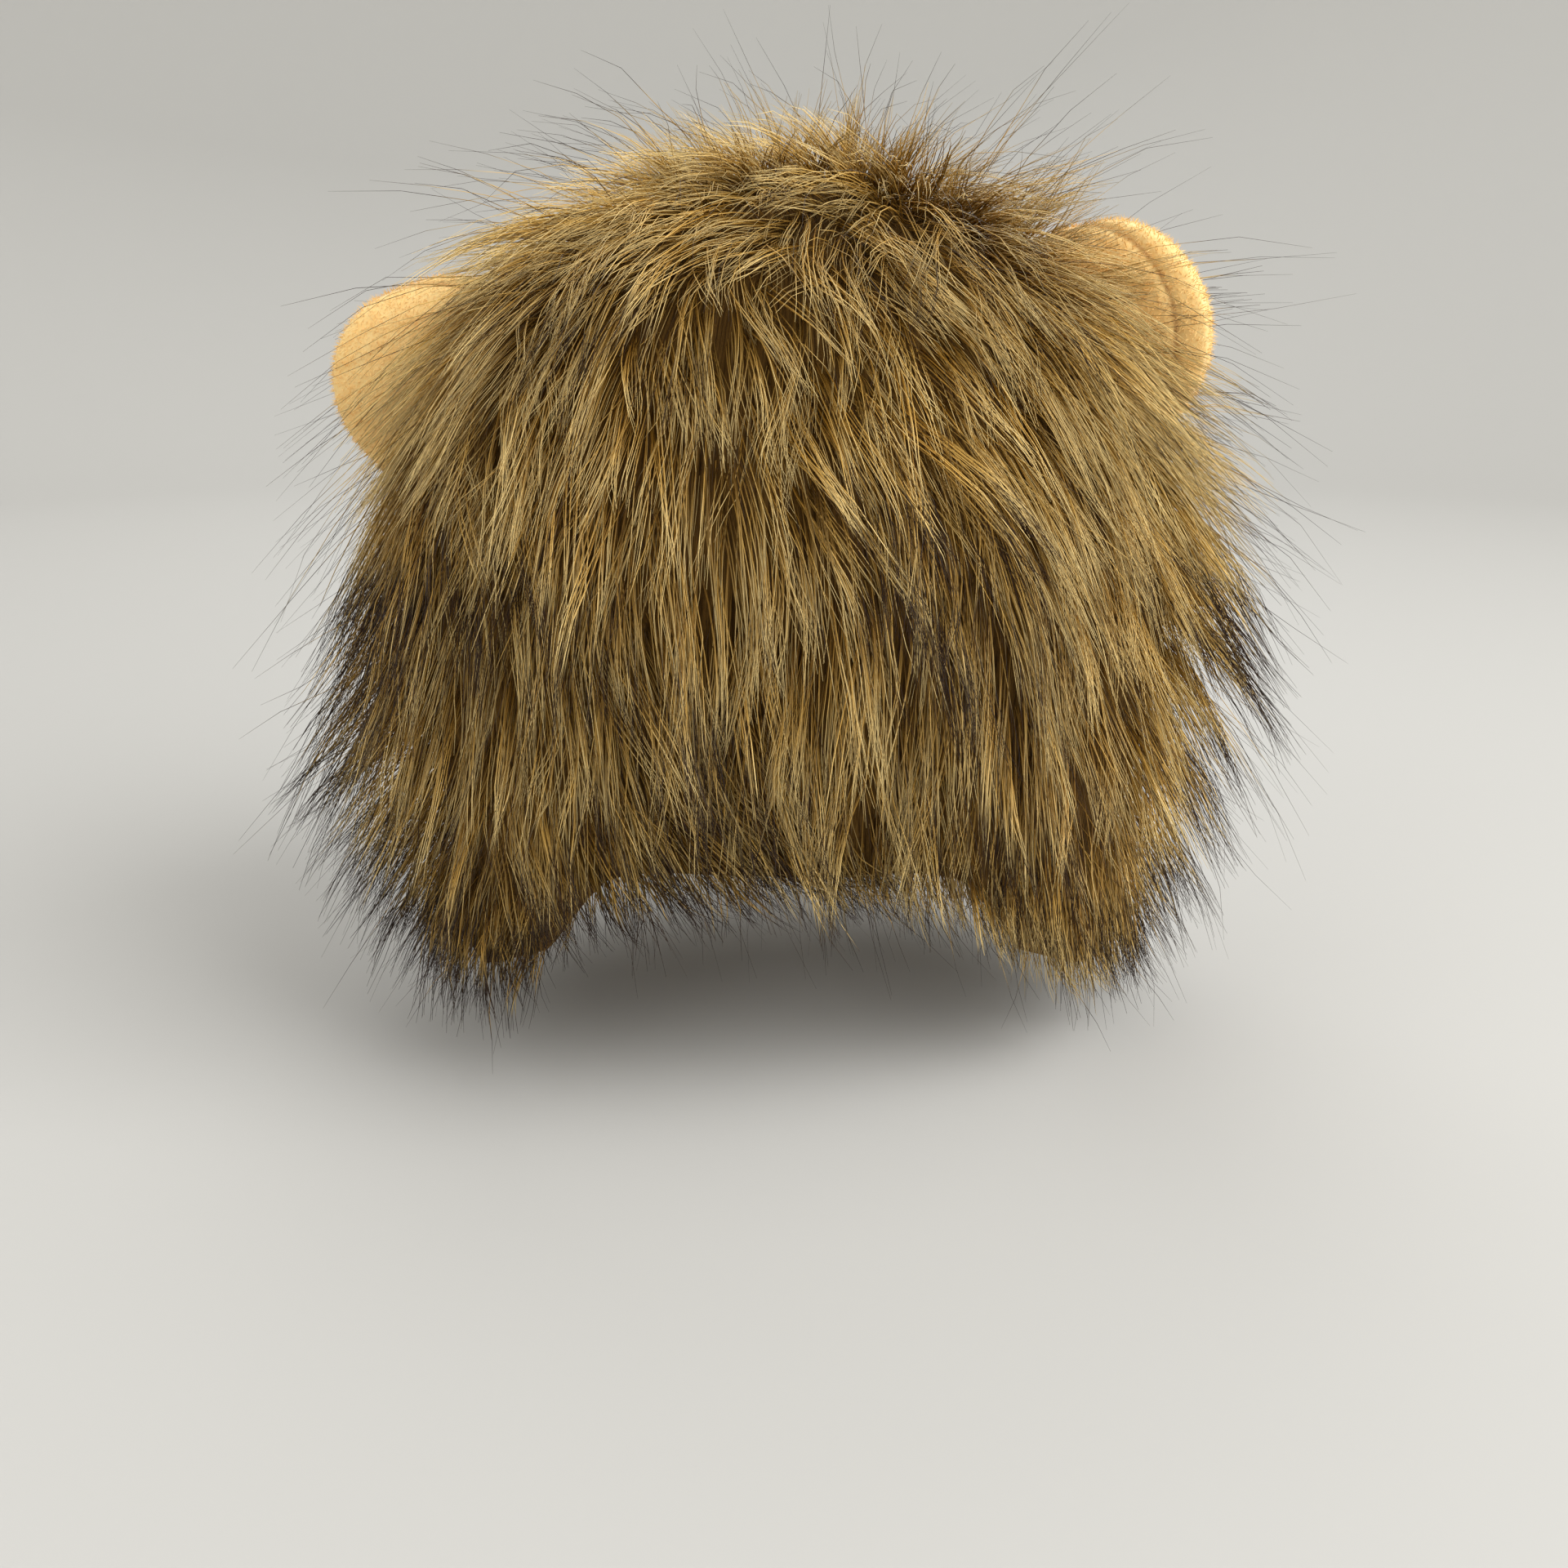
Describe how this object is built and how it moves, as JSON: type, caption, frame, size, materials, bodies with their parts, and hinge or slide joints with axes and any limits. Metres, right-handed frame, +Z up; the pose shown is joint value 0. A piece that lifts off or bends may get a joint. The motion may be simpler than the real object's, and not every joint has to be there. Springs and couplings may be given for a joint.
{
  "type": "lion mane hat",
  "caption": "Lion mane hat for a small pet: a hollow hood of fur cloth, open at the face and neck, with a deep shaggy mane, round padded plush ears and a tab that closes it under the chin.",
  "frame": {"origin": "inside of the crown, where the hood rests on the top of the wearer's head", "axes": "+Z up, -Y the way the face looks out, +X the wearer's left"},
  "size_m": [0.2044, 0.1504, 0.194],
  "materials": {
    "backing": "knitted backing of the fur cloth, matt",
    "fur": "long shaggy pile, tan with dark brown tips",
    "ear_plush": "short plush pile, apricot",
    "tab_tape": "woven hook-and-loop tape, matt"
  },
  "bodies": {
    "root": {"hood": "backing", "mane": "fur", "ear_left_back": "ear_plush", "ear_left_front": "ear_plush", "ear_right_back": "ear_plush", "ear_right_front": "ear_plush", "chin_tab": "tab_tape"}
  },
  "joints": []
}
